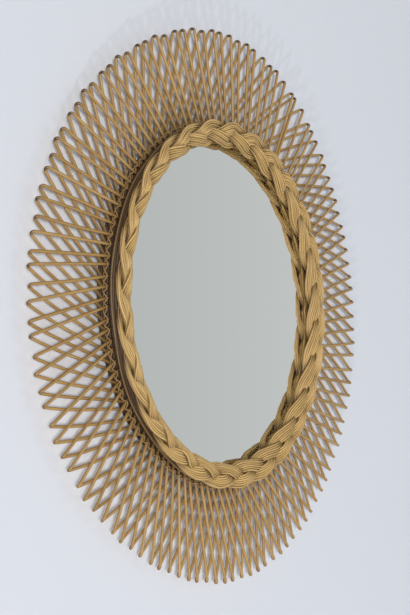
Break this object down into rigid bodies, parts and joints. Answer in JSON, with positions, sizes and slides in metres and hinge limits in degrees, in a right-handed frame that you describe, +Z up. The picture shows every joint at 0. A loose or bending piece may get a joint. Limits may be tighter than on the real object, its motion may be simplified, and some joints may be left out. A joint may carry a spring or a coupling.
{
  "type": "wall mirror",
  "caption": "Round wall mirror in a woven cane frame: a plaited rim over the glass edge and a sunburst of bent cane loops all round.",
  "frame": {"origin": "centre of the board's rear face, on the wall", "axes": "+Z up as hung, +Y into the wall, the mirror faces -Y"},
  "size_m": [0.6035, 0.0375, 0.6046],
  "materials": {
    "cane": "natural straw cane, bare, slightly waxy",
    "plait": "natural golden cane, bare, slightly waxy",
    "mirror": "plain silvered glass",
    "board": "bare sanded board"
  },
  "bodies": {
    "root": {"back_board": "board", "mirror_glass": "mirror", "ray_loops": "cane", "rear_collar": "cane", "front_collar": "cane", "braid_strand_1": "plait", "braid_strand_2": "plait", "braid_strand_3": "plait"}
  },
  "joints": []
}
